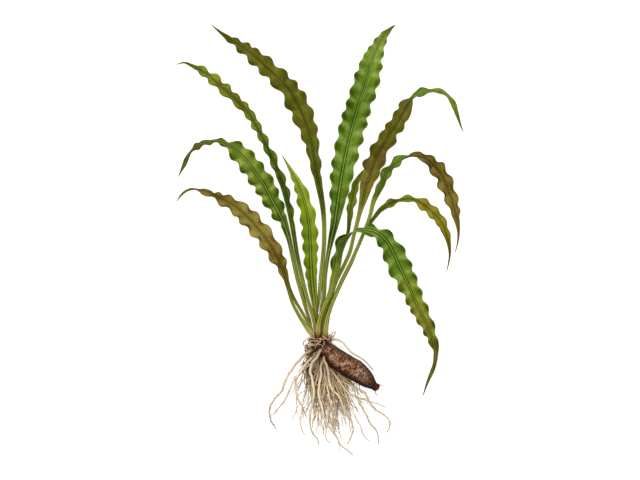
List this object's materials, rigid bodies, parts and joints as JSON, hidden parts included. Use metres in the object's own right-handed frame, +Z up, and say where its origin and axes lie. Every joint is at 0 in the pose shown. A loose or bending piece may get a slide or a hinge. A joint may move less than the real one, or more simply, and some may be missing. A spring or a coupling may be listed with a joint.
{
  "type": "bare-rooted aponogeton plant",
  "caption": "Bare-rooted aquarium plant lying flat: ruffled strap leaves on thin stalks, a dark elongated tuber and a fan of pale roots.",
  "frame": {"origin": "on the surface the plant lies on, under the middle of its outline", "axes": "+Y from the roots to the leaf tips, +X to the right seen from above, +Z up from the surface"},
  "size_m": [0.2303, 0.3454, 0.0204],
  "materials": {
    "leaf_green": "satin waxy leaf, fresh green with darker margins and veins",
    "leaf_olive": "satin waxy leaf, olive with brownish margins",
    "leaf_brown": "satin waxy leaf, brown-olive with reddish brown margins",
    "leaf_light": "satin waxy leaf, light yellow-green",
    "leaf_yellow": "satin waxy leaf, olive-yellow",
    "tuber_brown": "rough dark brown skin with fine rings and orange-brown specks",
    "root_cream": "matt pale cream to tan root skin"
  },
  "bodies": {
    "root": {"fine_roots": "root_cream", "leaf_arched": "leaf_green", "leaf_brown": "leaf_brown", "leaf_front": "leaf_green", "leaf_hooked": "leaf_brown", "leaf_narrow": "leaf_olive", "leaf_olive": "leaf_olive", "leaf_short": "leaf_light", "leaf_small": "leaf_olive", "leaf_tall": "leaf_green", "leaf_twisted": "leaf_brown", "leaf_yellow": "leaf_yellow", "leaf_young": "leaf_brown", "root_01": "root_cream", "root_02": "root_cream", "root_03": "root_cream", "root_04": "root_cream", "root_05": "root_cream", "root_05_fork_left": "root_cream", "root_05_fork_right": "root_cream", "root_06": "root_cream", "root_07": "root_cream", "root_07_fork_left": "root_cream", "root_07_fork_right": "root_cream", "root_08": "root_cream", "root_09": "root_cream", "root_10": "root_cream", "root_10_fork_left": "root_cream", "root_10_fork_right": "root_cream", "root_11": "root_cream", "root_12": "root_cream", "root_13": "root_cream", "root_14": "root_cream", "root_15": "root_cream", "tuber": "tuber_brown"}
  },
  "joints": []
}
